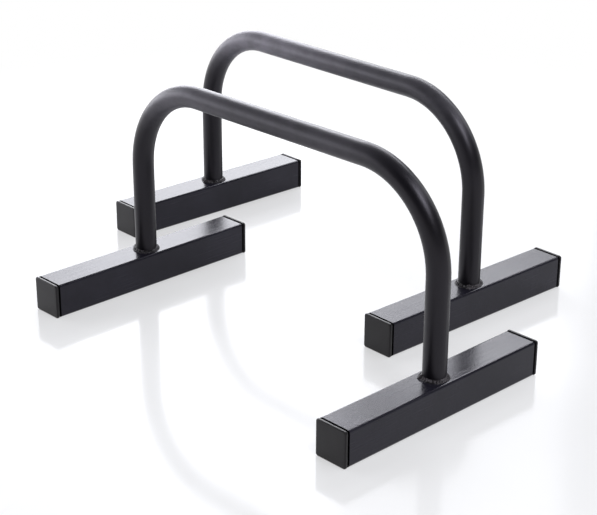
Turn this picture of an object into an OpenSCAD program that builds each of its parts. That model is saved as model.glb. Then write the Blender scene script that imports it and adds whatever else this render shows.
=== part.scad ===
// A pair of low parallel exercise bars: each is one bent round tube welded onto two square-tube feet.
// Millimetres, +Z up. The origin is on the floor, in the middle of the space that the pair takes.

/* [Handle] */
// Distance between the centrelines of the two legs
leg_pitch = 583; // [440:1:800]
// Height of the grip's centreline above the floor
grip_h = 316; // [220:1:460]
// Outside diameter of the handle tube
tube_d = 31.8; // [25:0.1:36]
// Wall thickness of the handle tube
tube_wall = 2; // [1:0.1:4]
// Bend radius of the handle tube, at its centreline
bend_r = 130; // [70:1:150]
// How far the legs stand behind the middle of the feet
leg_back = 3; // [0:0.5:20]

/* [Feet] */
// Side of the square steel tube of a foot
foot_w = 50; // [48:0.5:70]
// Wall thickness of the foot's tube
foot_wall = 2; // [1.2:0.1:3]
// Outside corner radius of the foot's tube
foot_corner_r = 3.5; // [2.5:0.1:5]
// Length of the steel tube of a foot
foot_len = 352; // [240:1:520]

/* [End caps] */
// How far a cap's flange stands proud of the foot's tube all round
cap_lip = 0.4; // [0:0.1:3]
// Thickness of the flange
flange_t = 4.2; // [2:0.1:7]
// Radius of the flange's corners
flange_corner_r = 3.2; // [1.5:0.1:6]
// Rounding of the flange's outer edge
flange_edge_r = 1.6; // [0.3:0.1:1.8]
// Thickness of the seat that holds the flange off the tube's end
seat_t = 2.2; // [0.5:0.1:4]
// How far the seat laps onto the end of the tube's wall
seat_lap = 0.5; // [0.3:0.1:1]
// How far the plug reaches into the tube
plug_depth = 24; // [16:0.5:40]
// Wall thickness of the plug
plug_wall = 1.8; // [1:0.1:3]
// Corner radius of the plug
plug_corner_r = 2; // [1.6:0.1:4]
// Gap between the plug and the inside of the tube, which the fins fill
fin_h = 2.4; // [1:0.1:4]
// Thickness of one fin
fin_t = 1.2; // [0.6:0.1:2]
// Number of fins on a plug
fin_count = 4; // [1:1:5]
// Play between a fin's tip and the inside of the tube
fin_play = 0.1; // [0.05:0.05:0.4]

/* [Weld beads] */
// Width of a weld bead on the foot
bead_w = 4.6; // [2:0.1:5.4]
// Height of a weld bead up the leg
bead_h = 4; // [2:0.1:8]
// Number of ripples round a bead
bead_ripples = 24; // [12:1:32]
// Depth of a ripple, as a share of the bead's width
ripple_depth = 0.12; // [0:0.01:0.3]

/* [Placing of the pair] */
// How far the rear bar stands along the grip from the front one
rear_shift = -163; // [-300:1:300]
// Distance between the two grips, across the bars
rear_gap = 266; // [150:1:700]
// Angle by which the rear bar is turned on the floor
rear_turn = -1.7; // [-10:0.1:10]

/* [Hidden] */
$fn = 96;
over = 1; // how far a cutting shape runs past the face that it cuts
rim_fn = 32; // facets of a full circle on the flange's rounded rim
rim_steps = 4; // steps of the rounding of the flange's rim

flange_w = foot_w + 2 * cap_lip;
foot_z = flange_w / 2; // the flanges stand on the floor and carry the foot's tube
foot_top = foot_z + foot_w / 2;
foot_in_w = foot_w - 2 * foot_wall;
foot_in_r = foot_corner_r - foot_wall > 0.5 ? foot_corner_r - foot_wall : 0.5;

bend_z = grip_h - bend_r; // height of the centre of each bend
bend_x = leg_pitch / 2 - bend_r; // distance of that centre from the middle of the bar

seat_w = foot_in_w + 2 * seat_lap;
plug_w = foot_in_w - 2 * fin_h;
plug_hole_w = plug_w - 2 * plug_wall;
fin_w = foot_in_w - 2 * fin_play;
fin_pitch = (plug_depth - fin_t) / fin_count;

bead_steps = 4; // faces along one ripple
bead_n = bead_ripples * bead_steps;
bead_arc = [for (a = [0 : 22.5 : 90]) a]; // angles of the points across the bead's crown
bead_ring = len(bead_arc) + 1; // those points and the one in the corner between leg and foot
bead_in_r = tube_d / 2 / cos(180 / bead_n); // the bead's flat faces just touch the leg

// Half of the space that a bar takes along and across its grip, and the same for the turned bar
bar_x = leg_pitch / 2 + flange_w / 2;
bar_y = foot_len / 2 + seat_t + flange_t;
function turned(along, across) = flange_edge_r
    + (along - flange_edge_r) * cos(rear_turn)
    + (across - flange_edge_r) * abs(sin(rear_turn));
rear_x = turned(bar_x, bar_y);
rear_y = turned(bar_y, bar_x);
// The front bar's centre, from which the pair's space is centred on the origin
front_pos = [
    -(min(-bar_x, rear_shift - rear_x) + max(bar_x, rear_shift + rear_x)) / 2,
    -(min(-bar_y, rear_gap - rear_y) + max(bar_y, rear_gap + rear_y)) / 2,
    0
];
rear_pos = front_pos + [rear_shift, rear_gap, 0];

// Sides of a bar and ends of a foot
left = -1;
right = 1;
near = -1;
far = 1;

module front_bar() {
    translate(front_pos) children();
}

module rear_bar() {
    translate(rear_pos) rotate([0, 0, rear_turn]) children();
}

// A square with round corners, about the origin
module round_square(side, r) {
    square([side, side - 2 * r], center = true);
    square([side - 2 * r, side], center = true);
    for (x = [-1, 1], y = [-1, 1])
        translate([x, y] * (side / 2 - r)) circle(r);
}

// The right-hand half of the handle as a solid rod: leg, bend and half of the grip
module half_rod(d, below) {
    translate([leg_pitch / 2, 0, foot_top - below])
        cylinder(d = d, h = bend_z - foot_top + below);
    translate([bend_x, 0, bend_z])
        rotate([90, 0, 0])
            rotate_extrude(angle = 90)
                translate([bend_r, 0]) circle(d = d);
    translate([0, 0, grip_h])
        rotate([0, 90, 0]) cylinder(d = d, h = bend_x);
}

// The whole rod, which reaches below the top of the feet by the given length
module rod(d, below) {
    half_rod(d, below);
    mirror([1, 0, 0]) half_rod(d, below);
}

// One bent tube: two legs, two bends and the grip
module handle() {
    color("#3f3f41")
        translate([0, leg_back, 0])
            difference() {
                rod(tube_d, 0);
                rod(tube_d - 2 * tube_wall, over);
            }
}

// The square tube under one leg, open at both ends
module foot(side) {
    color("#37373c")
        translate([side * leg_pitch / 2, foot_len / 2, foot_z])
            rotate([90, 0, 0])
                difference() {
                    linear_extrude(foot_len) round_square(foot_w, foot_corner_r);
                    translate([0, 0, -over])
                        linear_extrude(foot_len + 2 * over) round_square(foot_in_w, foot_in_r);
                }
}

// Width of the bead at step i round the leg, as a row of overlapping puddles
function bead_reach(i) =
    bead_w * (1 - ripple_depth * (1 - sin(180 * (i % bead_steps) / bead_steps)));

// The bead's section at step i, as distances from the leg's face and heights over the foot
function bead_profile(i) =
    concat([[0, 0]], [for (a = bead_arc) [bead_reach(i) * cos(a), bead_h * sin(a)]]);

// The rippled bead that joins the leg to the top of the foot
module weld_bead(side) {
    points = [
        for (i = [0 : bead_n - 1], p = bead_profile(i))
            let (t = 360 * i / bead_n, r = bead_in_r + p[0])
                [r * cos(t), r * sin(t), p[1]]
    ];
    faces = [
        for (i = [0 : bead_n - 1], j = [0 : bead_ring - 1])
            let (
                here = i * bead_ring,
                next = ((i + 1) % bead_n) * bead_ring,
                k = (j + 1) % bead_ring
            )
                each [[here + j, here + k, next + k], [here + j, next + k, next + j]]
    ];
    color("#3c3c3f")
        translate([side * leg_pitch / 2, leg_back, foot_top])
            polyhedron(points, faces, convexity = 4);
}

// The cap's flange with its outer rim rounded, standing on XY
module flange() {
    hull()
        for (a = [0 : 90 / rim_steps : 90])
            linear_extrude(flange_t - flange_edge_r * (1 - sin(a)))
                round_square(flange_w - 2 * flange_edge_r * (1 - cos(a)), flange_corner_r, $fn = rim_fn);
}

// The hollow plug behind the flange, open towards the inside of the foot
module plug() {
    difference() {
        translate([0, 0, -plug_depth])
            linear_extrude(plug_depth) round_square(plug_w, plug_corner_r);
        translate([0, 0, -plug_depth - over])
            linear_extrude(plug_depth + over) square(plug_hole_w, center = true);
    }
}

// A springy fin round the plug, which grips the inside of the foot
module fin() {
    linear_extrude(fin_t)
        difference() {
            round_square(fin_w, foot_in_r);
            square(plug_w - plug_wall, center = true);
        }
}

// A moulded end cap: flange, seat against the tube's end, plug and fins
module end_cap(side, end) {
    color("#2b2b2d")
        translate([side * leg_pitch / 2, end * (foot_len / 2 + seat_t), foot_z])
            rotate([-90 * end, 0, 0]) {
                flange();
                translate([0, 0, -seat_t])
                    linear_extrude(seat_t) round_square(seat_w, plug_corner_r);
                translate([0, 0, -seat_t]) plug();
                for (k = [1 : fin_count])
                    translate([0, 0, -seat_t - k * fin_pitch - fin_t]) fin();
            }
}

front_bar() handle();  // front_handle
front_bar() foot(left);  // front_left_foot
front_bar() foot(right);  // front_right_foot
front_bar() weld_bead(left);  // front_left_weld
front_bar() weld_bead(right);  // front_right_weld
front_bar() end_cap(left, near);  // front_left_near_cap
front_bar() end_cap(left, far);  // front_left_far_cap
front_bar() end_cap(right, near);  // front_right_near_cap
front_bar() end_cap(right, far);  // front_right_far_cap
rear_bar() handle();  // rear_handle
rear_bar() foot(left);  // rear_left_foot
rear_bar() foot(right);  // rear_right_foot
rear_bar() weld_bead(left);  // rear_left_weld
rear_bar() weld_bead(right);  // rear_right_weld
rear_bar() end_cap(left, near);  // rear_left_near_cap
rear_bar() end_cap(left, far);  // rear_left_far_cap
rear_bar() end_cap(right, near);  // rear_right_near_cap
rear_bar() end_cap(right, far);  // rear_right_far_cap
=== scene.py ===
import math

import bmesh
import bpy
from mathutils import Matrix, Vector, noise


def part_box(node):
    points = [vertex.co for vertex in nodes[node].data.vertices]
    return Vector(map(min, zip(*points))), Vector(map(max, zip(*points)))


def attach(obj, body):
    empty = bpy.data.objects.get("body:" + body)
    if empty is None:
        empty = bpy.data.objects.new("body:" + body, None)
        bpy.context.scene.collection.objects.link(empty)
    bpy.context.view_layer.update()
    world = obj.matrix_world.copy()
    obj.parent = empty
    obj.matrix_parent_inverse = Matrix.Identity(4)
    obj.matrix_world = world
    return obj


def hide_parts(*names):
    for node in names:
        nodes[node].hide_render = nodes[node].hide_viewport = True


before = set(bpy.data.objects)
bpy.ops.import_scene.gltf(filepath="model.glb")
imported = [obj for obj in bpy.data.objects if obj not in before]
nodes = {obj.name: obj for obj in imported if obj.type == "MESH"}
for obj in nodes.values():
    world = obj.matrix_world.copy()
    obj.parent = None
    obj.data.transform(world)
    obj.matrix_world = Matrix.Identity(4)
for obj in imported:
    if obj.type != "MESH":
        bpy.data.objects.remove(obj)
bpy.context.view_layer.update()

bars = ("front", "rear")
sides = ("left", "right")
ends = ("near", "far")


# Camera

shot = {
    "azimuth": 46.20,  # degrees from the front, towards +X
    "elevation": 22.84,
    "roll": 0.26,
    "distance": 2.25,
    "target": (0.0275, -0.0402, 0.0804),  # the point in the middle of the picture
    "lens": 93.74,
    "sensor": 36.0,
    "clipEnd": 60.0,
}


def compass(azimuth, elevation):
    # unit vector from the object towards a lamp or the camera
    turn, lift = math.radians(azimuth), math.radians(elevation)
    flat = math.cos(lift)
    return Vector((math.sin(turn) * flat, -math.cos(turn) * flat, math.sin(lift)))


def aimed(azimuth, elevation, distance, target, roll=0.0):
    # matrix of a camera or lamp that looks at the target from there
    back = compass(azimuth, elevation)
    turned = (-back).to_track_quat("-Z", "Y").to_matrix().to_4x4()
    place = Matrix.Translation(Vector(target) + back * distance)
    return place @ turned @ Matrix.Rotation(math.radians(roll), 4, "Z")


def placeCamera():
    data = bpy.data.cameras.new("camera")
    data.lens = shot["lens"]
    data.sensor_width = shot["sensor"]
    data.clip_end = shot["clipEnd"]
    camera = bpy.data.objects.new("camera", data)
    camera.matrix_world = aimed(
        shot["azimuth"], shot["elevation"], shot["distance"], shot["target"], shot["roll"])
    bpy.context.scene.collection.objects.link(camera)
    bpy.context.scene.camera = camera


placeCamera()
print("camera placed")


# Node maths: a Wire is one output socket, and arithmetic on it adds Math nodes

class Wire:
    def __init__(self, tree, socket):
        self.tree = tree
        self.socket = socket

    def math(self, operation, first, second, clamp=False):
        settings = {"operation": operation, "use_clamp": clamp}
        return self.tree.node("ShaderNodeMath", settings, {0: first, 1: second})

    def __add__(self, other):
        return self.math("ADD", self, other)

    def __radd__(self, other):
        return self.math("ADD", other, self)

    def __sub__(self, other):
        return self.math("SUBTRACT", self, other)

    def __rsub__(self, other):
        return self.math("SUBTRACT", other, self)

    def __mul__(self, other):
        return self.math("MULTIPLY", self, other)

    def __rmul__(self, other):
        return self.math("MULTIPLY", other, self)

    def clipped(self):
        return self.math("ADD", self, 0.0, clamp=True)


class Tree:
    def __init__(self, tree):
        self.tree = tree
        tree.nodes.clear()

    def node(self, kind, settings=None, sockets=None, out=0):
        made = self.tree.nodes.new(kind)
        for name, value in (settings or {}).items():
            setattr(made, name, value)
        for name, value in (sockets or {}).items():
            if isinstance(value, Wire):
                self.tree.links.new(value.socket, made.inputs[name])
            else:
                made.inputs[name].default_value = value
        return Wire(self, made.outputs[out]) if made.outputs else None

    def coordinates(self, kind="Object"):
        return self.node("ShaderNodeTexCoord", out=kind)

    def part(self, position, axis):
        # one number of a position: 0 along the grips, 2 the height above the floor
        return self.node("ShaderNodeSeparateXYZ", None, {0: position}, out=axis)

    def noise(self, position, scale, detail, roughness=0.5):
        sockets = {"Vector": position, "Scale": scale, "Detail": detail, "Roughness": roughness}
        return self.node("ShaderNodeTexNoise", None, sockets)

    def ramp(self, value, low, high, start=0.0, end=1.0):
        # from start to end while the value goes from low to high, smoothly
        settings = {"interpolation_type": "SMOOTHSTEP"}
        return self.node("ShaderNodeMapRange", settings, {
            "Value": value, "From Min": low, "From Max": high, "To Min": start, "To Max": end})

    def blendColours(self, factor, first, second):
        settings = {"data_type": "RGBA"}
        return self.node("ShaderNodeMix", settings, {0: factor, 6: first, 7: second}, out=2)

    def mottled(self, clouds, spec):
        # the finish's dark colour, clouded with its light one
        return self.blendColours(self.ramp(clouds, *spec["blend"]), spec["dark"], spec["light"])

    def stretched(self, position, scale, turn=0.0):
        # the position turned about the vertical and scaled by a vector, for streaks
        settings = {"vector_type": "POINT"}
        sockets = {"Vector": position, "Rotation": (0, 0, turn), "Scale": scale}
        return self.node("ShaderNodeMapping", settings, sockets)

    def beyond(self, position, direction, middle, reach):
        # 1 where the position is further than the reach from the middle, along the direction
        settings = {"operation": "DOT_PRODUCT"}
        sockets = {0: position, 1: direction}
        along = self.node("ShaderNodeVectorMath", settings, sockets, out="Value")
        squared = (along - middle) * (along - middle)
        return squared.math("GREATER_THAN", squared, reach * reach)


def swing(clouds, amount):
    # a noise, as a change by that amount about its middle
    return (clouds - 0.5) * amount


def shade(code):
    # a colour written as it shows on the screen, such as "3a3a3c", as Blender's linear values
    screen = [int(code[i:i + 2], 16) / 255 for i in (0, 2, 4)]
    linear = [c / 12.92 if c <= 0.04045 else ((c + 0.055) / 1.055) ** 2.4 for c in screen]
    return (*linear, 1.0)


def newFinish(name):
    material = bpy.data.materials.new(name)
    material.use_nodes = True
    return material, Tree(material.node_tree)


def closeFinish(tree, colour, roughness, bump, spec, grooveShade=None):
    # the shader itself: constants go straight onto its sockets; where the groove mask is given, a
    # near-black matt shader there is painted shade in the groove behind the caps
    normal = tree.node("ShaderNodeBump", None, {
        "Strength": 1.0, "Distance": spec["bumpDepth"], "Height": bump})
    surface = tree.node("ShaderNodeBsdfPrincipled", None, {
        "Base Color": colour, "Roughness": roughness, "Normal": normal, "IOR": spec["ior"],
        "Specular Tint": spec["tint"]})
    if grooveShade is not None:
        grooveShadeSheet = tree.node("ShaderNodeBsdfDiffuse", None, {"Color": spec["grooveShadeColour"]})
        surface = tree.node("ShaderNodeMixShader", None, {0: grooveShade, 1: surface, 2: grooveShadeSheet})
    tree.node("ShaderNodeOutputMaterial", None, {"Surface": surface})


# Powder coat of the handles: matt and fine-textured; the grips are painted lighter towards the
# left, partly wear where hands hold them and partly a painted highlight standing in for the lamps
# on that side

handleCoat = {
    "dark": shade("060508"),
    "light": shade("0c0a10"),
    # the colour of the rubbed grips, partly wear and partly painted highlight
    "rubbedAndLit": shade("8e8b94"),
    "grain": (1500, 2, 0.6),  # the noises: scale, detail and roughness, which is 0.5 if left out
    "peel": (420, 2),
    "cloud": (11, 3),
    "smudge": (1.0, 4, 0.6),
    "smudgeScale": (34, 34, 60),
    "blend": (0.3, 0.7),  # the part of the clouds over which dark turns to light
    "smudgeBlend": (0.30, 0.66),
    "leastSmudge": 0.7,
    "held": (0.215, 0.325),  # heights above the floor between which the rubbing and the painted highlight grow
    "wearAndLightFalloff": (-0.34, 0.05),  # painted highlight falling off away from the lamps, with the wear: from the lightest place to the least, along the grips
    "leastWearAndLight": 0.2,
    "untouched": (0.20, 0.33),  # from here on along the grips neither hands nor the painted highlight reach
    "roughness": 0.37,
    "rubbedAndLitRoughness": 0.44,
    "grainRough": 0.16,  # how much the grain changes the roughness
    "cloudRough": 0.10,
    "grainBump": 0.5,
    "peelBump": 0.9,
    "bumpDepth": 0.00005,
    "ior": 1.41,
    "tint": (0.93, 0.89, 1.0, 1.0),  # its shine is a little violet
}


def makeHandleCoat():
    spec = handleCoat
    material, tree = newFinish("handlePowderCoat")
    place = tree.coordinates()
    grain = tree.noise(place, *spec["grain"])
    peel = tree.noise(place, *spec["peel"])
    cloud = tree.noise(place, *spec["cloud"])
    smudge = tree.noise(tree.stretched(place, spec["smudgeScale"]), *spec["smudge"])
    along, height = tree.part(place, 0), tree.part(place, 2)
    held = tree.ramp(height, *spec["held"])
    wearAndLightFalloff = tree.ramp(along, *spec["wearAndLightFalloff"], 1.0, spec["leastWearAndLight"])
    untouched = tree.ramp(along, *spec["untouched"], 1.0, 0.0)
    smudged = tree.ramp(smudge, *spec["smudgeBlend"], spec["leastSmudge"], 1.0)
    # the mask of the rubbed grips: partly wear, partly a painted highlight that fades away from the
    # lamps on the left
    rubbedAndLit = held * held * wearAndLightFalloff * untouched * smudged
    tone = tree.blendColours(rubbedAndLit, tree.mottled(cloud, spec), spec["rubbedAndLit"])
    rough = spec["roughness"] + swing(grain, spec["grainRough"]) + swing(cloud, spec["cloudRough"])
    rough = rough + rubbedAndLit * (spec["rubbedAndLitRoughness"] - spec["roughness"])
    bump = grain * spec["grainBump"] + peel * spec["peelBump"]
    closeFinish(tree, tone, rough, bump, spec)
    return material


# Powder coat of the feet: satin, over drawn square tube whose rolling marks show as streaks; the
# ends behind the caps carry painted shade

footCoat = {
    "dark": shade("1a1921"),
    "light": shade("22212a"),
    "streak": (1.0, 3, 0.55),
    "streakScale": (240, 5, 240),
    "grain": (1700, 2, 0.6),
    "peel": (260, 2),
    "cloud": (14, 3),
    "blend": (0.3, 0.7),
    "roughness": 0.24,
    "streakRough": 0.16,
    "grainRough": 0.10,
    "cloudRough": 0.12,
    "grainBump": 0.3,
    "peelBump": 0.5,
    "streakBump": 0.12,
    "bumpDepth": 0.00008,
    "ior": 1.35,
    "tint": (0.93, 0.91, 1.0, 1.0),
    "grooveShadeColour": shade("0a0a0b"),  # painted shade on the tube's ends, in the groove behind the caps
    "grooveShadeWidth": 0.0015,  # the painted shade reaches this far in from the tube's ends
}


def centreOf(node):
    low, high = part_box(node)
    return (low + high) / 2


def footSize():
    # width and length of a foot's tube, from one that stands square to the axes
    footLow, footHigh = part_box("front_left_foot")
    return footHigh.x - footLow.x, footHigh.y - footLow.y


def makeFootCoat(name, turn, across, foot):
    spec = footCoat
    material, tree = newFinish(name)
    place = tree.coordinates()
    streak = tree.noise(tree.stretched(place, spec["streakScale"], turn), *spec["streak"])
    grain = tree.noise(place, *spec["grain"])
    peel = tree.noise(place, *spec["peel"])
    cloud = tree.noise(place, *spec["cloud"])
    rough = spec["roughness"] + swing(streak, spec["streakRough"])
    rough = rough + swing(grain, spec["grainRough"]) + swing(cloud, spec["cloudRough"])
    bump = grain * spec["grainBump"] + peel * spec["peelBump"] + streak * spec["streakBump"]
    # the tube's ends, where a near-black sheet paints the shade in the groove behind the caps
    reach = footSize()[1] / 2 - spec["grooveShadeWidth"]
    grooveShade = tree.beyond(place, across, centreOf(foot).dot(across), reach)
    closeFinish(tree, tree.mottled(cloud, spec), rough, bump, spec, grooveShade)
    return material


# Coat over the weld beads: light and dark bands run round them, painted highlight and shade
# standing in for the light on the ripples

beadCoat = {
    "dark": shade("08080a"),
    "light": shade("3e3a3d"),
    "grain": (1300, 3, 0.6),
    "paintedBands": (1.0, 3, 0.6),
    "paintedBandScale": (45, 45, 620),
    "blend": (0.42, 0.68),
    "roughness": 0.36,
    "paintedBandRough": 0.25,
    "bumpDepth": 0.00009,
    "ior": 1.42,
    "tint": (0.94, 0.90, 0.96, 1.0),
}


def makeBeadCoat():
    spec = beadCoat
    material, tree = newFinish("weldBeadCoat")
    place = tree.coordinates()
    grain = tree.noise(place, *spec["grain"])
    # light and dark bands of painted highlight and shade on the bead
    paintedBands = tree.noise(tree.stretched(place, spec["paintedBandScale"]), *spec["paintedBands"])
    rough = spec["roughness"] + swing(paintedBands, spec["paintedBandRough"])
    closeFinish(tree, tree.mottled(paintedBands, spec), rough, grain, spec)
    return material


# Moulded end caps: satin black plastic with a spark-eroded texture

capPlastic = {
    "dark": shade("121214"),
    "light": shade("1a1a1c"),
    "grain": (2200, 2, 0.6),
    "cloud": (45, 3),
    "blend": (0.3, 0.7),
    "roughness": 0.36,
    "cloudRough": 0.16,
    "grainRough": 0.08,
    "bumpDepth": 0.00006,
    "ior": 1.38,
    "tint": (1.0, 0.96, 0.98, 1.0),
}


def makeCapPlastic():
    spec = capPlastic
    material, tree = newFinish("capPlastic")
    place = tree.coordinates()
    grain = tree.noise(place, *spec["grain"])
    cloud = tree.noise(place, *spec["cloud"])
    rough = spec["roughness"] + swing(cloud, spec["cloudRough"]) + swing(grain, spec["grainRough"])
    closeFinish(tree, tree.mottled(cloud, spec), rough, grain, spec)
    return material


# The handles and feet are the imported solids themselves, in the coats above

def barAxes(bar):
    # along the grip, and along the feet from near to far
    along = (centreOf(bar + "_right_weld") - centreOf(bar + "_left_weld")).normalized()
    return along, Vector((-along.y, along.x, 0))


def coatNode(name, material):
    nodes[name].data.materials[0] = material


def coatSolids():
    handle = makeHandleCoat()
    for bar in bars:
        along, across = barAxes(bar)
        coatNode(bar + "_handle", handle)
        turn = -math.atan2(along.y, along.x)
        foot = makeFootCoat(bar + "FootCoat", turn, across, bar + "_left_foot")
        for side in sides:
            coatNode(f"{bar}_{side}_foot", foot)


coatSolids()
print("handles and feet coated")


# How a piece is skinned, shaded and put on its bar

def newPiece(name, mesh, material, bar, node, sharp):
    mesh.materials.append(material)
    mesh.shade_smooth()
    mesh.set_sharp_from_angle(angle=math.radians(sharp))
    piece = bpy.data.objects.new(name, mesh)
    bpy.context.scene.collection.objects.link(piece)
    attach(piece, bar + "_bar")
    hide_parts(node)


def loftedMesh(name, rings, closed):
    # skins a list of rings of equally many points, either round to the first ring or with flat ends
    build = bmesh.new()
    made = [[build.verts.new(point) for point in ring] for ring in rings]
    count = len(made[0])
    last = len(made) if closed else len(made) - 1
    for i in range(last):
        here, there = made[i], made[(i + 1) % len(made)]
        for j in range(count):
            k = (j + 1) % count
            build.faces.new((here[j], here[k], there[k], there[j]))
    if not closed:
        build.faces.new(list(reversed(made[0])))
        build.faces.new(made[-1])
    bmesh.ops.recalc_face_normals(build, faces=build.faces)
    mesh = bpy.data.meshes.new(name)
    build.to_mesh(mesh)
    build.free()
    return mesh


# Weld beads: overlapping puddles round the foot of each leg

weldBead = {
    "ripples": 26,
    "stepsPerRipple": 9,
    "crownSteps": 16,
    "rippleDepth": 0.0010,
    "crest": 1.7,  # over 1 it makes round crests and sharp valleys
    "level": 0.6,  # the part of a ripple's height that stays below the bead's stated size
    "lift": 0.7,  # how much of a ripple goes outwards, and as much upwards
    "toeFade": 0.5,  # the power with which the ripples fade into the toes
    "bow": 0.5,  # how far a ripple bends back at its toes, in ripples
    "bulge": 0.35,  # 0 is a flat bead, 1 is a full quarter round
    "wander": 0.16,  # how much the width and height vary round the leg
    "wanderRate": 1.6,  # how quickly they do
    "wanderGain": 1.6,
    "seedStep": 7.3,  # keeps one seed's wave clear of the next one's
    "heightSeed": 5,  # added to the bead's own seed for its height
    "jitterSeed": 9,  # and for its ripples
    "jitter": 0.25,  # how much the ripples' spacing varies, in ripples
    "jitterRate": 3,
    "sink": 0.0003,  # the toes run this far into the metal
    "stopSize": 0.55,  # how much larger the last puddle is
    "stopHeight": 0.6,  # how much of that goes into its height
    "stopAngle": 200,
    "stopTurn": 37,  # the next bead's last puddle is this much further round
    "stopSpread": 9,
    "sharp": 50,  # edges over this angle stay sharp
    "slot": "weld_coat",
}


def drift(angle, seed):
    # a slow, seeded wave round the leg, from -1 to 1
    spec = weldBead
    rate = spec["wanderRate"]
    here = Vector((math.cos(angle) * rate, math.sin(angle) * rate, seed * spec["seedStep"]))
    return noise.noise(here) * spec["wanderGain"]


def stopAt(angle, seed):
    # how much larger the bead is here because its last puddle is near
    spec = weldBead
    away = math.degrees(angle) - spec["stopAngle"] - seed * spec["stopTurn"]
    away = (away + 180) % 360 - 180
    return spec["stopSize"] * math.exp(-(away / spec["stopSpread"]) ** 2)


def beadSection(wide, high, ripple, jitter):
    # (distance from the leg, height over the foot) from the upper toe to the lower one
    spec = weldBead
    crown = spec["crownSteps"]
    section = []
    for j in range(crown + 1):
        share = j / crown
        turn = share * math.pi / 2
        out = spec["bulge"] * math.sin(turn) + (1 - spec["bulge"]) * share
        up = spec["bulge"] * math.cos(turn) + (1 - spec["bulge"]) * (1 - share)
        phase = ripple + spec["bow"] * (2 * share - 1) ** 2 + jitter
        crest = 1 - abs(2 * (phase % 1.0) - 1) ** spec["crest"]
        fade = math.sin(math.pi * share) ** spec["toeFade"]
        puddle = spec["rippleDepth"] * (crest - spec["level"]) * fade
        reach = wide * out + puddle * spec["lift"]
        rise = high * up + puddle * spec["lift"]
        if j == 0:
            reach = -spec["sink"]
        if j == crown:
            rise = -spec["sink"]
        section.append((reach, rise))
    section.append((-spec["sink"], -spec["sink"]))
    return section


def beadRings(centre, base, legRadius, width, height, seed):
    spec = weldBead
    steps = spec["ripples"] * spec["stepsPerRipple"]
    rings = []
    for i in range(steps):
        angle = 2 * math.pi * i / steps
        stop = stopAt(angle, seed)
        wide = width * (1 + spec["wander"] * drift(angle, seed) + stop)
        rising = spec["wander"] * drift(angle, seed + spec["heightSeed"])
        high = height * (1 + rising + stop * spec["stopHeight"])
        jitter = spec["jitter"] * drift(angle * spec["jitterRate"], seed + spec["jitterSeed"])
        section = beadSection(wide, high, i / spec["stepsPerRipple"], jitter)
        rings.append([
            centre + Vector((
                (legRadius + reach) * math.cos(angle),
                (legRadius + reach) * math.sin(angle),
                base + rise)) for reach, rise in section])
    return rings


def makeBeads():
    material = makeBeadCoat()
    handleLow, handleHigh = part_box("front_handle")
    legRadius = (handleHigh.y - handleLow.y) / 2
    seed = 0
    for bar in bars:
        for side in sides:
            node = f"{bar}_{side}_weld"
            low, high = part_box(node)
            centre = Vector(((low.x + high.x) / 2, (low.y + high.y) / 2, 0))
            width = (high.x - low.x) / 2 - legRadius
            rings = beadRings(centre, low.z, legRadius, width, high.z - low.z, seed)
            mesh = loftedMesh(node + "_bead", rings, closed=True)
            newPiece(node + "_bead", mesh, material, bar, node, weldBead["sharp"])
            seed += 1


makeBeads()
print("weld beads laid")


# End caps: flange with a rolled rim, seat, and the finned plug inside the foot

endCap = {
    "rimRadius": 0.0016,
    "rimSteps": 7,
    "backRadius": 0.0006,
    "backEase": 0.3,  # where the middle of the back edge's rounding lies, as a share of its radius
    "cornerRadius": 0.0032,
    "cornerSteps": 8,
    "cornerLimit": 0.98,  # a corner takes no more than this share of half a side
    "crown": 0.00015,  # the face swells this much towards its middle
    "crownSteps": 5,
    "flange": 0.0042,
    "seat": 0.0022,
    "seatLap": 0.0005,
    "plugDepth": 0.024,
    "plugWall": 0.0018,
    "plugCorner": 0.002,
    "hollowCorner": 0.001,
    "finHeight": 0.0024,
    "finThick": 0.0012,
    "finTaper": 0.25,  # share of a fin's thickness in which it reaches its full height
    "finCount": 4,
    "finPlay": 0.0001,
    "tubeWall": 0.002,
    "sharp": 32,
    "slot": "cap_plastic",
}


def roundedSquare(half, corner, steps):
    # points round a square with round corners, anticlockwise from the middle of the right side
    corner = min(corner, half * endCap["cornerLimit"])
    points = []
    for quarter in range(4):
        signX = 1 if quarter in (0, 3) else -1
        signY = 1 if quarter < 2 else -1
        for step in range(steps + 1):
            angle = math.pi / 2 * (quarter + step / steps)
            points.append((
                signX * (half - corner) + corner * math.cos(angle),
                signY * (half - corner) + corner * math.sin(angle)))
    return points


def flangeSections(half):
    # (half width, corner radius, depth) from the middle of the face to the flange's back
    spec = endCap
    rim, corner, back = spec["rimRadius"], spec["cornerRadius"], spec["backRadius"]
    face = half - rim
    sections = []
    for i in range(1, spec["crownSteps"] + 1):
        share = i / spec["crownSteps"]
        sections.append((face * share, corner * share, -spec["crown"] * (1 - share ** 2)))
    for i in range(1, spec["rimSteps"] + 1):
        turn = math.pi / 2 * i / spec["rimSteps"]
        sections.append((face + rim * math.sin(turn), corner, rim * (1 - math.cos(turn))))
    ease = back * spec["backEase"]
    sections.append((half, corner, spec["flange"] - back))
    sections.append((half - ease, corner, spec["flange"] - ease))
    sections.append((half - back, corner, spec["flange"]))
    return sections


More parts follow.
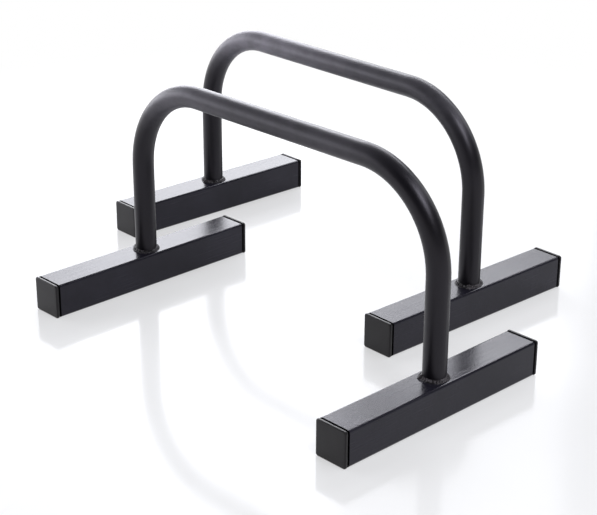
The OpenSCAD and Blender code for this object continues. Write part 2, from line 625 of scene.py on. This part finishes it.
def plugSections(inside):
    # the same from the seat behind the flange, over the fins, to the bottom of the plug's hollow
    spec = endCap
    corner, thick = spec["plugCorner"], spec["finThick"]
    seatEnd = spec["flange"] + spec["seat"]
    seat = inside + spec["seatLap"]
    plug = inside - spec["finHeight"]
    fin = inside - spec["finPlay"]
    sections = [(seat, corner, spec["flange"]), (seat, corner, seatEnd), (plug, corner, seatEnd)]
    pitch = (spec["plugDepth"] - thick) / spec["finCount"]
    for i in range(1, spec["finCount"] + 1):
        start = seatEnd + i * pitch
        sections.append((plug, corner, start))
        sections.append((fin, corner, start + thick * spec["finTaper"]))
        sections.append((fin, corner, start + thick * (1 - spec["finTaper"])))
        sections.append((plug, corner, start + thick))
    hollow = plug - spec["plugWall"]
    sections.append((hollow, spec["hollowCorner"], seatEnd + spec["plugDepth"]))
    sections.append((hollow, spec["hollowCorner"], seatEnd))
    return sections


def makeCaps():
    spec = endCap
    material = makeCapPlastic()
    capLow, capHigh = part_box("front_left_near_cap")
    tubeWidth, tubeLength = footSize()
    sections = flangeSections((capHigh.x - capLow.x) / 2)
    sections += plugSections(tubeWidth / 2 - spec["tubeWall"])
    for bar in bars:
        along, across = barAxes(bar)
        for side in sides:
            middle = centreOf(f"{bar}_{side}_foot")
            for end in ends:
                outward = across if end == "far" else -across
                face = middle + outward * (tubeLength / 2 + spec["seat"] + spec["flange"])
                rings = [
                    [face + along * x + Vector((0, 0, z)) - outward * depth
                        for x, z in roundedSquare(half, corner, spec["cornerSteps"])]
                    for half, corner, depth in sections]
                node = f"{bar}_{side}_{end}_cap"
                mesh = loftedMesh(node + "_moulding", rings, closed=False)
                newPiece(node + "_moulding", mesh, material, bar, node, spec["sharp"])


makeCaps()
print("end caps moulded")


# Studio: a glossy white floor in a room with white walls, lit by soft panels

floorSheet = {
    "size": 16.0,
    "segments": 8,
    "colour": (0.77, 0.773, 0.785, 1.0),
    "roughness": 0.12,
    "ior": 1.36,
    "cloud": (3.0, 3),
    "blend": (0.3, 0.7),
    "sheen": 0.02,  # how much the clouds change the roughness either way
    "whitened": 0.48,  # how far the sheet shows as plain white round the object
    "fade": (0.5, 1.4),  # from here it turns all white, towards the walls
}

studio = {
    "light": 0.11,  # strength of the room where it lights the object
    "ceiling": 0.09,  # strength of what shows above its white walls
    "wallTop": (0.05, 0.20),  # heights, as sines, between which the white ends
    "tint": (0.945, 0.955, 1.0),  # the panels are a little cool
    "target": (0, 0, 0.1),  # the point that they face
    # each panel: azimuth, elevation, distance, width, height and how bright a mirror shows it
    "panels": {
        "backLeft": (238, 20, 3.4, 1.5, 2.2, 5.3),
        "back": (217, 15, 3.4, 1.1, 1.6, 2.3),
        "backHigh": (225, 31, 3.4, 1.8, 0.9, 4.2),
        "edge": (197, 44, 2.8, 1.1, 0.5, 12.0),
        "left": (280, 11, 3.2, 2.4, 1.2, 4.0),
        "leftHigh": (285, 36, 3.0, 2.0, 1.0, 0.6),
        "front": (312, 16, 2.6, 1.8, 1.2, 2.0),
        "highRight": (79, 50, 2.6, 0.9, 0.9, 11.5),
        "farRight": (121, 53, 3.0, 1.6, 0.6, 5.4),
        "farBack": (170, 27, 3.4, 1.4, 1.3, 2.4),
    },
}

white = (1.0, 1.0, 1.0, 1.0)


def seenRays(tree):
    # 1 for the rays that show the room, straight or mirrored, and 0 for those that light by it
    kinds = ("Is Camera Ray", "Is Glossy Ray", "Is Transmission Ray")
    rays = [tree.node("ShaderNodeLightPath", out=kind) for kind in kinds]
    return (rays[0] + rays[1] + rays[2]).clipped()


def makeFloor():
    spec = floorSheet
    material, tree = newFinish("floorSheet")
    place = tree.coordinates()
    clouds = tree.noise(place, *spec["cloud"])
    sheen = tree.ramp(clouds, *spec["blend"], -spec["sheen"], spec["sheen"])
    surface = tree.node("ShaderNodeBsdfPrincipled", None, {
        "Base Color": spec["colour"], "Roughness": spec["roughness"] + sheen, "IOR": spec["ior"]})
    glow = tree.node("ShaderNodeEmission", None, {"Color": white, "Strength": 1.0})
    away = tree.node("ShaderNodeVectorMath", {"operation": "LENGTH"}, {0: place}, out="Value")
    whitened = tree.ramp(away, *spec["fade"], spec["whitened"], 1.0)
    surface = tree.node("ShaderNodeMixShader", None, {
        0: seenRays(tree) * whitened, 1: surface, 2: glow})
    tree.node("ShaderNodeOutputMaterial", None, {"Surface": surface})
    build = bmesh.new()
    bmesh.ops.create_grid(
        build, x_segments=spec["segments"], y_segments=spec["segments"], size=spec["size"] / 2)
    mesh = bpy.data.meshes.new("floor")
    build.to_mesh(mesh)
    build.free()
    mesh.materials.append(material)
    floor = bpy.data.objects.new("floor", mesh)
    bpy.context.scene.collection.objects.link(floor)


def makeWorld():
    spec = studio
    world = bpy.data.worlds.new("studioRoom")
    bpy.context.scene.world = world
    world.use_nodes = True
    tree = Tree(world.node_tree)
    lift = tree.part(tree.coordinates("Generated"), 2)
    shown = tree.ramp(lift, *spec["wallTop"], 1.0, spec["ceiling"])
    strength = spec["light"] + seenRays(tree) * (shown - spec["light"])
    background = tree.node("ShaderNodeBackground", None, {"Color": white, "Strength": strength})
    tree.node("ShaderNodeOutputWorld", None, {"Surface": background})


def hangPanel(name, azimuth, elevation, distance, width, height, glow):
    lamp = bpy.data.lights.new(name, "AREA")
    lamp.shape = "RECTANGLE"
    lamp.size, lamp.size_y = width, height
    lamp.color = studio["tint"]
    lamp.energy = glow * math.pi * width * height
    holder = bpy.data.objects.new(name, lamp)
    holder.matrix_world = aimed(azimuth, elevation, distance, studio["target"])
    holder.visible_camera = False
    bpy.context.scene.collection.objects.link(holder)


makeFloor()
makeWorld()
for panelName, panel in studio["panels"].items():
    hangPanel(panelName, *panel)
bpy.context.scene.view_settings.view_transform = "Standard"
print("studio lit")
